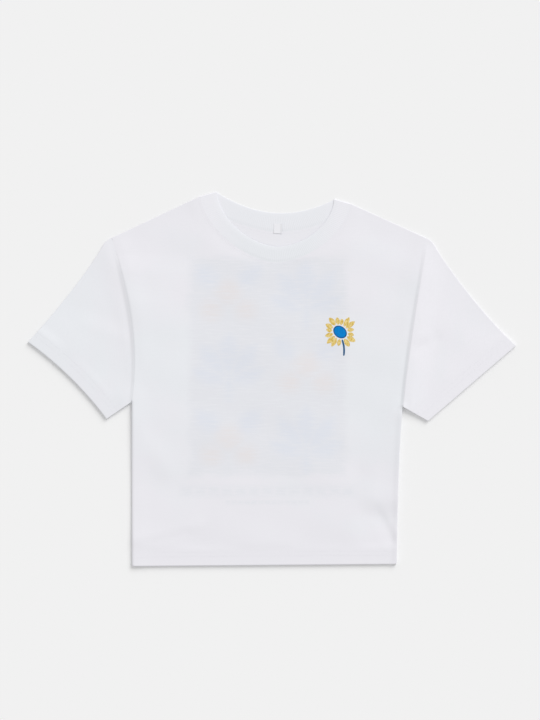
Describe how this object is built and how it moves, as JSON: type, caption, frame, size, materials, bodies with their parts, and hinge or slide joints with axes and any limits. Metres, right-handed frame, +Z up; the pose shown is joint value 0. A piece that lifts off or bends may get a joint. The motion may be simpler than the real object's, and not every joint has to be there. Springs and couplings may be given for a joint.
{
  "type": "graphic t-shirt",
  "caption": "Child's short-sleeved crew-neck t-shirt laid flat and face up, with set-in sleeves, turned-up hems and a ribbed neck band.",
  "frame": {"origin": "on the surface the shirt lies on, under the middle of its outline's box", "axes": "+X towards the wearer's left sleeve, +Y towards the neck, +Z up off the surface, so the front of the shirt faces +Z"},
  "size_m": [0.6914, 0.5305, 0.0047],
  "materials": {
    "front_jersey": "matt knitted cotton",
    "back_jersey": "matt knitted cotton",
    "left_sleeve_jersey": "matt knitted cotton",
    "right_sleeve_jersey": "matt knitted cotton",
    "neck_rib_knit": "matt knitted cotton",
    "label_tape": "smooth woven tape"
  },
  "bodies": {
    "root": {"front_panel": "front_jersey", "back_panel": "back_jersey", "left_sleeve": "left_sleeve_jersey", "right_sleeve": "right_sleeve_jersey", "neck_rib": "neck_rib_knit", "neck_label": "label_tape"}
  },
  "joints": []
}
